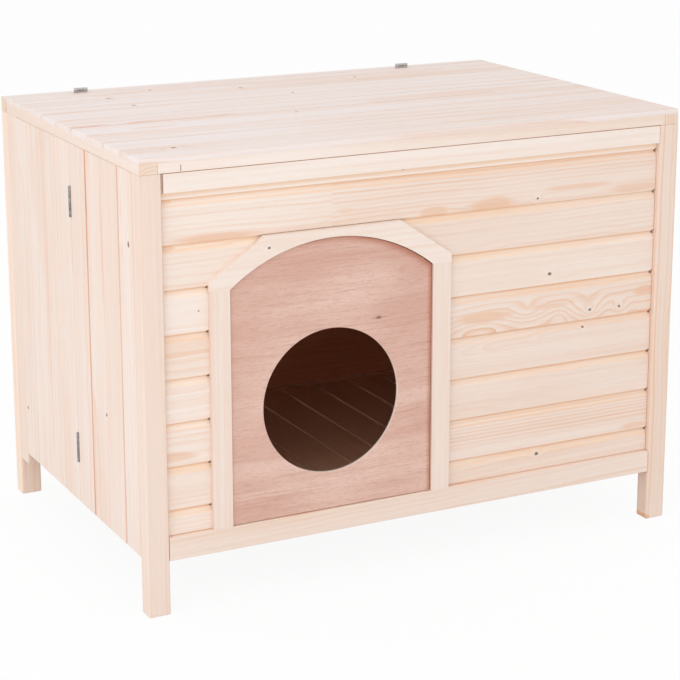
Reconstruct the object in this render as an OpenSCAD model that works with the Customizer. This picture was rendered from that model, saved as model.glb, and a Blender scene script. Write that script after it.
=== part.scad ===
// Flat-topped wooden cat house on four legs. The lid is hinged at the rear, the slatted floor lifts out,
// the front has an arched door frame round a plywood panel with a round entry hole, and each side wall
// is two boarded halves that meet at hinges. Front is -Y, up is +Z, the origin is on the ground.

/* [House] */
// Width over the posts
house_w = 800; // [640:1:960]
// Depth over the posts
house_d = 534; // [430:1:640]
// Height from the ground to the top of the lid
house_h = 598; // [540:1:700]

/* [Posts and rails] */
// Width of a post, seen from the front
post_w = 30; // [26:1:40]
// Depth of a post, front to back
post_d = 24; // [22:1:32]
// Height of the two top rails
top_rail_h = 24.5; // [18:0.5:36]
// Height of the two bottom rails
bottom_rail_h = 31; // [24:0.5:44]
// Open height under the bottom rails
leg_clear = 73; // [50:1:100]
// Shadow gap between a top rail and the lid
rail_drop = 0.7; // [0.5:0.1:3]
// Gap where a rail or a board ends at a post
end_gap = 0.5; // [0.2:0.1:0.9]

/* [Boards] */
// Thickness of the wall boards
board_t = 8; // [7:0.5:10]
// Face height of one full course of the front and rear boards
course_h = 57.8; // [45:0.1:75]
// Height of the ripped lowest course of the front
front_first_h = 34; // [20:1:50]
// Height of the ripped lowest course of the rear
rear_first_h = 26; // [20:1:50]
// How far the front and rear boards sit behind the faces of the posts
board_recess = 7; // [5:0.5:9]
// Height of the bevel along the top of each course
bevel_h = 10; // [5:0.5:15]
// Depth of that bevel
bevel_d = 4; // [2:0.1:4.4]
// Gap between neighbouring boards
board_gap = 0.3; // [0.2:0.1:0.8]
// Small chamfer on the long edges of the boards
arris = 1.2; // [0.3:0.1:1.5]
// Thickness of a board's tongue
tongue_t = 2.4; // [2:0.1:2.6]
// Length of a board's tongue
tongue_l = 4; // [3:0.5:6]
// Play of a tongue in its groove
tongue_fit = 0.25; // [0.1:0.05:0.4]
// Wood left behind the tongue
tongue_set = 0.8; // [0.6:0.1:1]
// Narrowest strip that a row of boards may end with
least_rip = 4; // [3:1:8]

/* [Door] */
// Width of the boards that show between the left post and the door frame
door_inset = 62; // [30:1:120]
// Width of the door opening
opening_w = 293; // [240:1:320]
// Height of the opening's straight sides
opening_h = 317; // [280:1:330]
// Rise of the arch above the straight sides
arch_rise = 52.5; // [35:0.5:55]
// Width of the door stiles
stile_w = 27.5; // [20:0.5:35]
// Height of the arched head board
head_h = 64; // [60:0.5:72]
// Height of the head board's upright ends
head_end_h = 12; // [6:0.5:20]
// Width of the head board's flat top
head_top_w = 196; // [150:1:230]
// Thickness of the plywood door panel
panel_t = 4; // [3:0.5:6]
// Gap round the panel in its frame
panel_gap = 1; // [0.5:0.1:2]
// How far the boards reach behind the panel's edges
panel_lap = 15; // [8:1:25]
// Diameter of the entry hole
hole_d = 196; // [160:1:220]
// Height of the hole's centre above the bottom rail
hole_z = 150; // [130:1:170]
// How far the hole's centre lies left of the middle of the door
hole_shift = 3; // [0:0.5:10]
// Width of the cleats that hold the board ends at the posts
cleat_w = 18; // [12:1:25]

/* [Side walls] */
// Height of the side walls' lower edge above the ground
wall_clear = 76; // [60:1:100]
// Gap between the side walls and the lid
wall_drop = 0.2; // [0.2:0.1:3]
// Face width of one full side board
wall_face = 58; // [45:1:75]
// Width of the joints that stand open in the front halves
open_joint = 2.4; // [1:0.1:3]
// Height of the ledge battens
batten_w = 24; // [20:1:32]
// Thickness of the ledge battens
batten_t = 10; // [8:1:12]
// Distance of the hinges from the upper and lower edges of a side wall
wall_hinge_inset = 79; // [50:1:120]
// Length by which the spacers hang below the side walls
spacer_drop = 17; // [5:1:25]

/* [Wall hinges] */
// Length of a wall hinge
wall_hinge_len = 42; // [30:1:60]
// Outer radius of its knuckles
wall_knuckle_r = 2.2; // [2:0.1:3]
// Radius of its pin
wall_pin_r = 1; // [0.8:0.05:1.2]
// Thickness of its leaves
wall_leaf_t = 1; // [0.8:0.1:1.2]
// Reach of a centre hinge's leaves from the pin
wall_leaf_w = 16; // [12:1:20]
// How far the centre hinges' pins lie outside the faces of the walls
wall_pin_out = 0.5; // [0.2:0.1:2.5]
// Reach of a corner hinge's leaves from the pin
corner_leaf_w = 8.5; // [7:0.5:9]

/* [Lid] */
// Thickness of the lid boards
lid_board_t = 7; // [6:0.5:10]
// Face width of one full lid board
lid_face = 60; // [45:1:75]
// Height of the lid battens
lid_batten_h = 13.5; // [10:0.5:20]
// Width of the lid battens
lid_batten_w = 24; // [18:1:32]
// How far the lid ends inside the posts on each side
lid_inset = 1; // [0:0.5:4]
// Depth of the fixed rail behind the lid
hinge_rail_d = 18; // [14:1:20]

/* [Lid hinges] */
// Distance of the left hinge's middle from the left end of the house
lid_hinge_left = 114; // [80:1:200]
// Distance of the right hinge's middle from the right end of the house
lid_hinge_right = 156; // [80:1:200]
// Length of a lid hinge
lid_hinge_len = 20; // [15:1:30]
// Height of the hinge pins above the lid
lid_hinge_rise = 4.5; // [4:0.5:9]
// Outer radius of the knuckles
lid_knuckle_r = 2.4; // [2.2:0.1:3.2]
// Radius of the pins
lid_pin_r = 1.2; // [0.9:0.05:1.5]
// Thickness of the leaves
lid_leaf_t = 1.2; // [0.8:0.1:1.4]
// Depth of the leaves below the top of the lid
lid_leaf_w = 16; // [10:1:18]

/* [Floor] */
// Thickness of the floor boards
floor_board_t = 8; // [6:0.5:12]
// Spacing of the floor boards
floor_pitch = 58.6; // [45:0.1:75]
// Open gap between floor boards
floor_gap = 4; // [2:0.5:8]
// How far the floor lies below the top of the bottom rails
floor_drop = 2; // [0:0.5:6]
// Play of the floor all round
floor_play = 1; // [0.5:0.1:2]
// Width of the floor battens
floor_batten_w = 24; // [18:1:32]
// Height of the floor battens
floor_batten_h = 12; // [8:1:16]
// Width of the ledgers under the ends of the floor
ledger_w = 12; // [8:1:16]
// Height of the ledgers
ledger_h = 18; // [12:1:20]

/* [Hidden] */
// Play between a pin and its knuckles, and between neighbouring knuckles
pin_fit = 0.05;
knuckle_gap = 0.3;
// Play of a hinge leaf in its mortise, and of a knuckle at the wood beside it
mortise_fit = 0.1;
// Numbers of knuckles on a long and on a short hinge
long_knuckles = 5;
short_knuckles = 3;
// How far a cut runs past the face that it opens
cut = 1;
$fn = 64;

// Heights
lid_t = lid_board_t + lid_batten_h;
post_h = house_h - lid_t;
top_rail_top = post_h - rail_drop;
boards_top = top_rail_top - top_rail_h;
rail_top = leg_clear + bottom_rail_h;
boards_h = boards_top - rail_top;
wall_top = post_h - wall_drop;
wall_h = wall_top - wall_clear;
floor_top = rail_top - floor_drop;
floor_under = floor_top - floor_board_t;

// Places across and along the house
left = -house_w / 2;
front = -house_d / 2;
inner_x = house_w / 2 - post_w;
inner_y = house_d / 2 - post_d;
board_len = 2 * (inner_x - end_gap);
board_face_y = front + board_recess;
board_back_y = board_face_y + board_t;

// Side walls: two halves between the front post and the spacer, which holds both when they are folded
wall_t = board_t + batten_t;
spacer_d = 2 * wall_t;
wall_from = -inner_y + end_gap;
wall_to = inner_y - spacer_d - end_gap;
seam_y = (wall_from + wall_to) / 2;
half_len = (wall_to - wall_from - board_gap) / 2;
hinge_heights = [wall_clear + wall_hinge_inset, wall_top - wall_hinge_inset];
wall_axis_x = left - wall_pin_out;
corner_offset = wall_knuckle_r + mortise_fit;
corner_axis_x = left + wall_t + corner_offset;

// Door
door_w = opening_w + 2 * stile_w;
door_x = -inner_x + door_inset + door_w / 2;
arch_r = (opening_w * opening_w / 4 + arch_rise * arch_rise) / (2 * arch_rise);
opening_top = opening_h + arch_rise;

// Lid
lid_seam = 2 * lid_leaf_t + 2 * knuckle_gap;
lid_rear = house_d / 2 - hinge_rail_d - lid_seam;
lid_d = lid_rear - front;
lid_w = house_w - 2 * lid_inset;
lid_axis_y = lid_rear + lid_seam / 2;
lid_axis_z = house_h + lid_hinge_rise;
lid_hinges = [left + lid_hinge_left, -left - lid_hinge_right];

// Numbers of boards
front_courses = rows(boards_h - front_first_h, course_h) + 1;
rear_courses = rows(boards_h - rear_first_h, course_h) + 1;
lid_boards = rows(lid_d, lid_face);
wall_boards = rows(half_len, wall_face);
floor_w = 2 * (inner_x - floor_play);
floor_len = 2 * (inner_y - floor_play);
floor_side_boards = rows((floor_w - floor_pitch) / 2, floor_pitch);

PINE = "moccasin";
PINE_DARK = "burlywood";
PLYWOOD = "rosybrown";
STEEL = "silver";

// How many boards of one face width fill a length, where a very narrow last strip joins its neighbour
function rows(length, face) = max(1, ceil((length - least_rip) / face));

// Shared shapes

module box(low, high) {
    translate(low) cube(high - low);
}

module both_sides() {
    children();
    mirror([1, 0, 0]) children();
}

module both_ends() {
    children();
    mirror([0, 1, 0]) children();
}

// A board along X with its face at y = 0 and its back at y = t, standing on z = 0. The tongue is on top,
// and the cut along the top front edge is either a chamfer or a course's bevel. The turn about [1, 1, 1]
// takes X to Y, Y to Z and Z to X.
module board(length, face, t, tongue, groove, cut_h, cut_d) {
    tongue_y = t - tongue_set - tongue_t;
    rotate(a = 120, v = [1, 1, 1]) linear_extrude(length) difference() {
        union() {
            polygon([[0, arris], [arris, 0], [t, 0], [t, face], [cut_d, face], [0, face - cut_h]]);
            if (tongue) translate([tongue_y, face - cut]) square([tongue_t, tongue_l + cut]);
        }
        if (groove) {
            translate([tongue_y - tongue_fit, -cut])
                square([tongue_t + 2 * tongue_fit, tongue_l + tongue_fit + cut]);
        }
    }
}

// Outline of the door opening, drawn in at its sides and its arch by an inset. The sill is at y = 0, and
// the outline starts a little below it.
module opening_outline(inset = 0) {
    half_w = opening_w / 2 - inset;
    r = arch_r - inset;
    side_h = opening_top - arch_r + sqrt(r * r - half_w * half_w);
    translate([-half_w, -cut]) square([2 * half_w, side_h + cut]);
    intersection() {
        translate([0, opening_top - arch_r]) circle(r);
        translate([-half_w, side_h - cut]) square([2 * half_w, opening_top - side_h + 2 * cut]);
    }
}

// Something drawn in the plane of the door, made thick from one depth to another
module door_plate(from_y, to_y) {
    translate([door_x, to_y, rail_top]) rotate([90, 0, 0]) linear_extrude(to_y - from_y) children();
}

// A hinge leaf that reaches along +X from a pin on the Z axis. The first leaf is on the -Y side and has
// the outer knuckles; the second is its partner. The plate starts at a set distance from the pin's axis.
module leaf(length, knuckles, r, pin_r, reach, t, set, second) {
    step = length / knuckles;
    side = second ? set : -set - t;
    difference() {
        union() {
            translate([0, side, -length / 2]) cube([reach, t, length]);
            for (i = [0 : knuckles - 1]) if ((i % 2 == 1) == second) knuckle(i, step, length, r);
        }
        for (i = [0 : knuckles - 1]) if ((i % 2 == 1) != second) knuckle_room(i, step, length, r);
        cylinder(r = pin_r + pin_fit, h = length + 2 * cut, center = true);
    }
}

module knuckle(i, step, length, r) {
    translate([0, 0, i * step - length / 2 + knuckle_gap / 2]) cylinder(r = r, h = step - knuckle_gap);
}

module knuckle_room(i, step, length, r) {
    low = i == 0 ? cut : knuckle_gap / 2;
    high = i * step + step > length - step / 2 ? cut : knuckle_gap / 2;
    translate([0, 0, i * step - length / 2 - low]) cylinder(r = r + knuckle_gap, h = step + low + high);
}

module pin(length, r) {
    cylinder(r = r, h = length, center = true);
}

// Frame

module post(x_side, y_side) {
    x = x_side < 0 ? left : -left - post_w;
    y = y_side < 0 ? front : -front - post_d;
    color(PINE) translate([x, y, 0]) cube([post_w, post_d, post_h]);
}

module rail(low_z, high_z) {
    box([-board_len / 2, front, low_z], [board_len / 2, -inner_y, high_z]);
}

module front_top_rail() {
    color(PINE) rail(boards_top, top_rail_top);
}

module front_bottom_rail() {
    color(PINE) rail(leg_clear, rail_top);
}

module rear_top_rail() {
    color(PINE) mirror([0, 1, 0]) rail(boards_top, top_rail_top);
}

module rear_bottom_rail() {
    color(PINE) mirror([0, 1, 0]) rail(leg_clear, rail_top);
}

module hinge_rail() {
    color(PINE) box([left, lid_rear + lid_seam, post_h], [-left, -front, house_h]);
}

module left_spacer() {
    color(PINE) box([left, inner_y - spacer_d, wall_clear - spacer_drop], [-inner_x, inner_y, post_h]);
}

module right_spacer() {
    mirror([1, 0, 0]) left_spacer();
}

// Front and rear walls

function course_low(i, first_h) = i == 0 ? 0 : first_h + (i - 1) * course_h;

// One course of bevelled boards between the posts, counted from the bottom
module course(i, count, first_h) {
    low = course_low(i, first_h);
    last = i == count - 1;
    high = last ? boards_h : course_low(i + 1, first_h) - board_gap;
    translate([-board_len / 2, board_face_y, rail_top + low])
        board(board_len, high - low, board_t, !last, i > 0, last ? arris : bevel_h, last ? arris : bevel_d);
}

module front_board(i) {
    color(PINE) difference() {
        course(i, front_courses, front_first_h);
        door_plate(board_face_y - cut, board_back_y + cut) opening_outline(panel_lap);
    }
}

module rear_boards() {
    color(PINE) mirror([0, 1, 0]) for (i = [0 : rear_courses - 1]) course(i, rear_courses, rear_first_h);
}

module wall_cleats() {
    color(PINE_DARK) both_ends() both_sides()
        box([-inner_x, board_back_y, rail_top], [-inner_x + cleat_w, -inner_y, boards_top]);
}

module stile(x) {
    color(PINE) door_plate(front, board_face_y) translate([x, 0]) square([stile_w, opening_h]);
}

module left_stile() {
    stile(-door_w / 2);
}

module right_stile() {
    stile(opening_w / 2);
}

module arch_head() {
    end_x = door_w / 2;
    top_x = head_top_w / 2;
    color(PINE) door_plate(front, board_face_y) difference() {
        translate([0, opening_h]) polygon([
            [-end_x, 0], [end_x, 0], [end_x, head_end_h],
            [top_x, head_h], [-top_x, head_h], [-end_x, head_end_h]
        ]);
        opening_outline();
    }
}

// The panel lies on the faces of the boards, inside the door frame
module door_panel() {
    color(PLYWOOD) door_plate(board_face_y - panel_t, board_face_y) difference() {
        opening_outline(panel_gap);
        translate([-opening_w / 2, -2 * cut]) square([opening_w, 2 * cut + panel_gap]);
        translate([-hole_shift, hole_z]) circle(d = hole_d);
    }
}

// Side walls

// The boards of one half of the left wall, from one end to the other along Y. The narrow board comes
// first in the front half and last in the rear half.
module half_boards(from_y, front_half) {
    count = wall_boards;
    rip = half_len - (count - 1) * wall_face;
    difference() {
        for (i = [0 : count - 1]) {
            start = front_half ? (i == 0 ? 0 : rip + (i - 1) * wall_face) : i * wall_face;
            face = (front_half ? i == 0 : i == count - 1) ? rip : wall_face;
            joint = front_half && i % 2 == 0 ? open_joint : board_gap;
            last = i == count - 1;
            translate([left, from_y + start, wall_clear]) rotate(a = -120, v = [1, 1, 1])
                board(wall_h, face - (last ? 0 : joint), board_t, !last, i > 0, arris, arris);
        }
        centre_mortises();
    }
}

module half_battens(from_y) {
    inner = left + board_t;
    difference() {
        for (z = hinge_heights)
            box([inner, from_y, z - batten_w / 2], [inner + batten_t, from_y + half_len, z + batten_w / 2]);
        centre_mortises();
    }
}

// Shallow pockets for the leaves and knuckles of the centre hinges in the meeting edges of the halves
module centre_mortises() {
    reach = wall_leaf_w + mortise_fit;
    depth = knuckle_gap / 2 + wall_leaf_t + mortise_fit;
    tall = wall_hinge_len / 2 + mortise_fit;
    room_r = wall_knuckle_r + mortise_fit;
    for (z = hinge_heights) {
        box([wall_axis_x, seam_y - depth, z - tall], [wall_axis_x + reach, seam_y + depth, z + tall]);
        translate([wall_axis_x, seam_y, z]) cylinder(r = room_r, h = 2 * tall, center = true);
    }
}

module left_front_boards() {
    color(PINE) half_boards(wall_from, true);
}

module left_rear_boards() {
    color(PINE) half_boards(wall_to - half_len, false);
}

module left_front_battens() {
    color(PINE_DARK) half_battens(wall_from);
}

module left_rear_battens() {
    color(PINE_DARK) half_battens(wall_to - half_len);
}

module right_front_boards() {
    mirror([1, 0, 0]) left_front_boards();
}

module right_rear_boards() {
    mirror([1, 0, 0]) left_rear_boards();
}

module right_front_battens() {
    mirror([1, 0, 0]) left_front_battens();
}

module right_rear_battens() {
    mirror([1, 0, 0]) left_rear_battens();
}

// Wall hinges

module at_centre_hinges() {
    both_sides() for (z = hinge_heights) translate([wall_axis_x, seam_y, z]) children();
}

module centre_leaf(second) {
    set = knuckle_gap / 2;
    leaf(wall_hinge_len, long_knuckles, wall_knuckle_r, wall_pin_r, wall_leaf_w, wall_leaf_t, set, second);
}

module centre_hinge_front_leaves() {
    color(STEEL) at_centre_hinges() centre_leaf(false);
}

module centre_hinge_rear_leaves() {
    color(STEEL) at_centre_hinges() centre_leaf(true);
}

module centre_hinge_pins() {
    color(STEEL) at_centre_hinges() pin(wall_hinge_len, wall_pin_r);
}

// Corner hinges sit inside, open at a right angle: one leaf on the post or spacer, one on the battens
module at_corner_hinges() {
    both_sides() for (z = hinge_heights) {
        translate([corner_axis_x, -inner_y + corner_offset, z]) children();
        translate([corner_axis_x, inner_y - spacer_d - corner_offset, z]) mirror([0, 1, 0]) children();
    }
}

module corner_leaf(second) {
    set = wall_knuckle_r - wall_leaf_t;
    leaf(batten_w, short_knuckles, wall_knuckle_r, wall_pin_r, corner_leaf_w, wall_leaf_t, set, second);
}

module corner_hinge_post_leaves() {
    color(STEEL) at_corner_hinges() corner_leaf(false);
}

module corner_hinge_wall_leaves() {
    color(STEEL) at_corner_hinges() rotate([0, 0, 90]) corner_leaf(true);
}

module corner_hinge_pins() {
    color(STEEL) at_corner_hinges() pin(batten_w, wall_pin_r);
}

// Floor

module floor_boards() {
    wide = floor_pitch - floor_gap;
    color(PINE) {
        floor_board(-wide / 2, wide / 2);
        both_sides() for (i = [1 : floor_side_boards]) {
            low = (i - 0.5) * floor_pitch + floor_gap / 2;
            floor_board(low, i == floor_side_boards ? floor_w / 2 : low + wide);
        }
    }
}

module floor_board(low_x, high_x) {
    box([low_x, -floor_len / 2, floor_under], [high_x, floor_len / 2, floor_top]);
}

module floor_battens() {
    end_y = inner_y - ledger_w - floor_play - floor_batten_w / 2;
    color(PINE_DARK) for (y = [-end_y, 0, end_y])
        box([-floor_w / 2, y - floor_batten_w / 2, floor_under - floor_batten_h],
            [floor_w / 2, y + floor_batten_w / 2, floor_under]);
}

module floor_ledgers() {
    x = board_len / 2;
    color(PINE_DARK) both_ends()
        box([-x, -inner_y, floor_under - ledger_h], [x, -inner_y + ledger_w, floor_under]);
}

// Lid

module lid_board(i) {
    start = i * lid_face;
    last = i == lid_boards - 1;
    face = last ? lid_d - start : lid_face - board_gap;
    color(PINE) translate([-lid_w / 2, front + start, house_h]) rotate([-90, 0, 0])
        board(lid_w, face, lid_board_t, !last, i > 0, arris, arris);
}

module lid_batten(low, high) {
    color(PINE_DARK) box([low.x, low.y, post_h], [high.x, high.y, post_h + lid_batten_h]);
}

module lid_side_battens() {
    both_sides() lid_batten([-lid_w / 2, front], [-lid_w / 2 + lid_batten_w, lid_rear]);
}

module lid_front_batten() {
    x = lid_w / 2 - lid_batten_w;
    lid_batten([-x, front], [x, front + lid_batten_w]);
}

module lid_rear_batten() {
    x = lid_w / 2 - lid_batten_w;
    lid_batten([-x, lid_rear - lid_batten_w], [x, lid_rear]);
}

module lid_middle_batten() {
    lid_batten([-lid_batten_w / 2, front + lid_batten_w], [lid_batten_w / 2, lid_rear - lid_batten_w]);
}

module at_lid_hinges() {
    for (x = lid_hinges) translate([x, lid_axis_y, lid_axis_z]) rotate([0, 90, 0]) children();
}

module lid_leaf(second) {
    reach = lid_hinge_rise + lid_leaf_w;
    leaf(lid_hinge_len, short_knuckles, lid_knuckle_r, lid_pin_r, reach, lid_leaf_t, knuckle_gap, second);
}

module lid_hinge_lid_leaves() {
    color(STEEL) at_lid_hinges() lid_leaf(false);
}

module lid_hinge_rail_leaves() {
    color(STEEL) at_lid_hinges() lid_leaf(true);
}

module lid_hinge_pins() {
    color(STEEL) at_lid_hinges() pin(lid_hinge_len, lid_pin_r);
}

post(-1, -1);  // front_left_post
post(1, -1);  // front_right_post
post(-1, 1);  // rear_left_post
post(1, 1);  // rear_right_post
front_top_rail();
front_bottom_rail();
rear_top_rail();
rear_bottom_rail();
hinge_rail();
left_spacer();
right_spacer();
for (i = [1 : front_courses]) front_board(i - 1);
left_stile();
right_stile();
arch_head();
door_panel();
wall_cleats();
rear_boards();
left_front_boards();
left_rear_boards();
left_front_battens();
left_rear_battens();
right_front_boards();
right_rear_boards();
right_front_battens();
right_rear_battens();
centre_hinge_front_leaves();
centre_hinge_rear_leaves();
centre_hinge_pins();
corner_hinge_post_leaves();
corner_hinge_wall_leaves();
corner_hinge_pins();
floor_boards();
floor_battens();
floor_ledgers();
for (i = [1 : lid_boards]) lid_board(i - 1);
lid_side_battens();
lid_front_batten();
lid_rear_batten();
lid_middle_batten();
lid_hinge_lid_leaves();
lid_hinge_rail_leaves();
lid_hinge_pins();
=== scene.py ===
"""Cat house of bare whitewood.

A flat hinged lid, boarded walls, and an arched door frame round a plywood panel with a round hole.
"""

import math
from collections import namedtuple

import bpy
import numpy as np
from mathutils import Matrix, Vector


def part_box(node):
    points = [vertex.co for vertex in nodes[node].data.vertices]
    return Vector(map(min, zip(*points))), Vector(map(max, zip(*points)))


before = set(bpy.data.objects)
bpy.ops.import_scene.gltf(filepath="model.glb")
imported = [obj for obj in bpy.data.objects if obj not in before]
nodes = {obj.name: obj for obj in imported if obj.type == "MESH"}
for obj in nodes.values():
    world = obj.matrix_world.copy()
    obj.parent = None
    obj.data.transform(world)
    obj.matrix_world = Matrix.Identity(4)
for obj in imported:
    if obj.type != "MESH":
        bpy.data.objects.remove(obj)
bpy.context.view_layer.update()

# Camera

SENSOR_WIDTH = 36.0
IMAGE_WIDTH = 680
FOCAL_PIXELS = 2020.6
CAMERA_PLACE = (-1.2701, -2.5144, 1.0647)
CAMERA_TURN = math.radians(26.993)
CAMERA_PITCH = math.radians(14.206)
CAMERA_ROLL = math.radians(0.049)
CAMERA_SHIFT = -0.10

# Light and floor

SKY_LEVEL = 0.84
KEY_PLACE = (-2.9, -2.3, 2.5)
KEY_AIM_HEIGHT = 0.3
KEY_SIZE = 4.0
KEY_POWER = 50.0
FLOOR_RADIUS = 9.0
FLOOR_CENTRE = 0.02
FLOOR_RINGS = 4
FLOOR_SPOKES = 64
FLOOR_COLOUR = (0.95, 0.95, 0.95)
FLOOR_GLOW = 0.92
WHITE = (1.0, 1.0, 1.0)

# Colours of the wood, linear

EARLY_WOOD = (0.895, 0.768, 0.690)
PALE_WOOD = (0.915, 0.803, 0.730)
POST_WOOD = (0.880, 0.738, 0.652)
# Painted light: a paler tone for the strip under the top rail, against the rail's shadow
LEDGE_LIT_WOOD = (0.965, 0.875, 0.815)
# Painted light: a paler tone for the rear left leg, against its shade
LEG_LIT_WOOD = (0.960, 0.785, 0.670)
WALL_WOOD = (0.900, 0.785, 0.720)
# Painted light: a paler tone for the lit left of the front and of the lid's front batten, and for the top
# rail
LIT_PALE_WOOD = (0.935, 0.835, 0.770)
# Painted sheen: the lid's tone, paler and greyer than the wood; the hinge rail takes it too
LID_SHEEN_WOOD = (0.900, 0.818, 0.795)
# Painted light: a paler tone for the lit left of the lid
LID_LEFT_LIT_WOOD = (0.908, 0.840, 0.833)
LATE_WOOD = (0.835, 0.500, 0.310)
END_EARLY = (0.870, 0.700, 0.575)
END_LATE = (0.740, 0.470, 0.300)
KNOT_DARK = (0.170, 0.095, 0.065)
# Painted shade in the notches at seam ends and in open seams
NOTCH_SHADE_DARK = (0.240, 0.125, 0.075)
KNOT_HALO = (0.920, 0.815, 0.750)

# Tints, which multiply a colour: the lit ones are paler than the wood. The tints of the cabin, the bevels,
# the strip below a seam, the seams and gaps, the lit edges and ledges and the door panel's edge are painted
# light and shade.

FIBRE_TINT = (0.970, 0.930, 0.900)
BLOTCH_TINT = (0.975, 0.940, 0.905)
BAND_TINT = (0.975, 0.905, 0.840)
# Painted shade within the cabin: darker and redder, on its walls and on its floor
CABIN_SHADE_TINT = (0.900, 0.430, 0.255)
FLOOR_SHADE_TINT = (0.860, 0.550, 0.390)
# Painted light on the lapped boards' bevels, and painted warm shade in the strip below each seam
BEVEL_LIGHT_TINT = (1.045, 0.965, 0.860)
SEAM_SHADE_TINT = (1.010, 0.885, 0.750)
FOOT_TINT = (1.020, 0.950, 0.875)
# Painted shade in seams and gaps
JOINT_SHADE_TINT = (0.560, 0.340, 0.220)
WALL_GAP_SHADE_TINT = (0.780, 0.450, 0.290)
GAP_SHADE_TINT = (0.940, 0.650, 0.460)
LIT_EDGE = (1.080, 1.200, 1.300)
LIT_LEDGE = (1.080, 1.060, 1.050)
# Painted shade of the door frame along the door panel's edge
RIM_SHADE_TINT = (0.760, 0.530, 0.440)

# Colours of the plywood and the hinges, linear

PLY_PALE = (0.815, 0.580, 0.492)
PLY_DEEP = (0.685, 0.415, 0.333)
PLY_FLECK = (0.560, 0.300, 0.230)
PLY_KNOT = (0.330, 0.170, 0.120)
PLY_EDGE = (0.970, 0.805, 0.705)
PLY_CORE = (0.930, 0.745, 0.635)
STEEL = (0.330, 0.315, 0.310)
STEEL_DULL = (0.230, 0.215, 0.210)
ZINC = (0.580, 0.560, 0.545)
ZINC_DULL = (0.440, 0.415, 0.400)

# Noise: features a metre along each axis, a seed of its own, and its detail. The axes of wood run along the
# grain, across it and into the piece, and the others are those of the frame.
Noise = namedtuple("Noise", "scales seed detail", defaults=[2.0])

SWAY_NOISE = Noise((3.2, 0, 0), 0)
DIP_NOISE = Noise((6.5, 3, 0), 5)
RING_NOISE = Noise((5, 28, 28), 9)
KNOT_NOISE = Noise((300, 300, 0), 13, 1.0)
FADE_NOISE = Noise((2.2, 9, 9), 21)
PATCH_NOISE = Noise((16, 60, 0), 31)
STREAK_NOISE = Noise((3, 170, 170), 41, 3.0)
FIBRE_NOISE = Noise((40, 1500, 1500), 47)
BLOTCH_NOISE = Noise((2.0, 7, 7), 53)
BAND_NOISE = Noise((1.3, 62, 62), 59)
JOINT_NOISE = Noise((3, 0, 0), 71)
PLY_WAVE_NOISE = Noise((4, 0, 9), 80)
PLY_MOTTLE_NOISE = Noise((5, 0, 13), 81, 3.0)
PLY_BAND_NOISE = Noise((2, 0, 60), 82, 3.0)
PLY_FLECK_NOISE = Noise((75, 0, 560), 83)
PLY_PORE_NOISE = Noise((190, 0, 1500), 84)
PLY_STREAK_NOISE = Noise((11, 0, 320), 85)
STEEL_LINE_NOISE = Noise((2600, 2600, 2600), 90)
STEEL_PATCH_NOISE = Noise((140, 140, 140), 91, 3.0)

# Where a seed's noise starts on each axis, and how far one seed lies from the next
NOISE_START = (0.0, 3.1, 7.7)
NOISE_STEP = (1.0, 1.7, 2.3)

# Bumps, in metres
WOOD_BUMP = 0.00022
PLY_BUMP = 0.00020
STEEL_BUMP = 0.00004

# Places and sizes in the frame, in metres

DOOR_MIDDLE = sum(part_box("door_panel")[i][0] for i in (0, 1)) / 2
HOLE_ASIDE = -0.003
HOLE_RISE = 0.149
HOLE_RADIUS = 0.098
HOLE_MIDDLE = (DOOR_MIDDLE + HOLE_ASIDE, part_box("door_panel")[0][2] + HOLE_RISE)
ARCH_RADIUS = 0.2297

# One course of front boards, the tongue that the next board covers, and the lowest rear board's face
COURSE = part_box("front_board_3")[1][2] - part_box("front_board_2")[1][2]
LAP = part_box("front_board_2")[1][2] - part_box("front_board_3")[0][2]
REAR_FIRST = 0.026
TOP_BOARD = 9

# Wall boards, floor boards and lid boards
WALL_FACE = 0.058
FRONT_HALF_FACES = 4
FLOOR_PITCH = 0.0586
LID_BOARDS = 9


class Wire:
    """A value in a material's node tree. Operators on it add Math nodes."""

    def __init__(self, tree, socket=None):
        self.tree = tree
        self.socket = socket

    def add(self, kind, settings=None, inputs=None, output=0):
        """Adds a node of any kind: its settings first, then the values or links of its sockets."""
        node = self.tree.nodes.new(kind)
        for name, value in (settings or {}).items():
            if name == "stops":
                set_stops(node.color_ramp, value)
            else:
                setattr(node, name, value)
        for name, value in (inputs or {}).items():
            if isinstance(value, Wire):
                self.tree.links.new(value.socket, node.inputs[name])
            else:
                node.inputs[name].default_value = value
        return Wire(self.tree, node.outputs[output]) if len(node.outputs) else None

    def work(self, operation, *values):
        """The result of a Math node on these values."""
        return self.add("ShaderNodeMath", {"operation": operation}, dict(enumerate(values)))

    def __add__(self, other):
        return self.work("ADD", self, other)

    def __radd__(self, other):
        return self.work("ADD", other, self)

    def __sub__(self, other):
        return self.work("SUBTRACT", self, other)

    def __rsub__(self, other):
        return self.work("SUBTRACT", other, self)

    def __mul__(self, other):
        return self.work("MULTIPLY", self, other)

    def __rmul__(self, other):
        return self.work("MULTIPLY", other, self)

    def __truediv__(self, other):
        return self.work("DIVIDE", self, other)

    def __rtruediv__(self, other):
        return self.work("DIVIDE", other, self)

    def __abs__(self):
        return self.work("ABSOLUTE", self)

    def floor(self):
        """The whole number below."""
        return self.work("FLOOR", self)

    def part(self):
        """What is left above the whole number below."""
        return self.work("FRACT", self)

    def root(self):
        """The square root."""
        return self.work("SQRT", self)

    def over(self, other):
        """The larger of two values."""
        return self.work("MAXIMUM", self, other)


def set_stops(ramp, stops):
    """Sets a colour ramp's stops from (place, grey value) pairs."""
    while len(ramp.elements) < len(stops):
        ramp.elements.new(1.0)
    for element, (place, value) in zip(ramp.elements, stops):
        element.position = place
        element.color = (value, value, value, 1.0)


def rgba(colour):
    """A plain colour with its alpha. A wired colour stays as it is."""
    return (*colour, 1.0) if isinstance(colour, tuple) else colour


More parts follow.
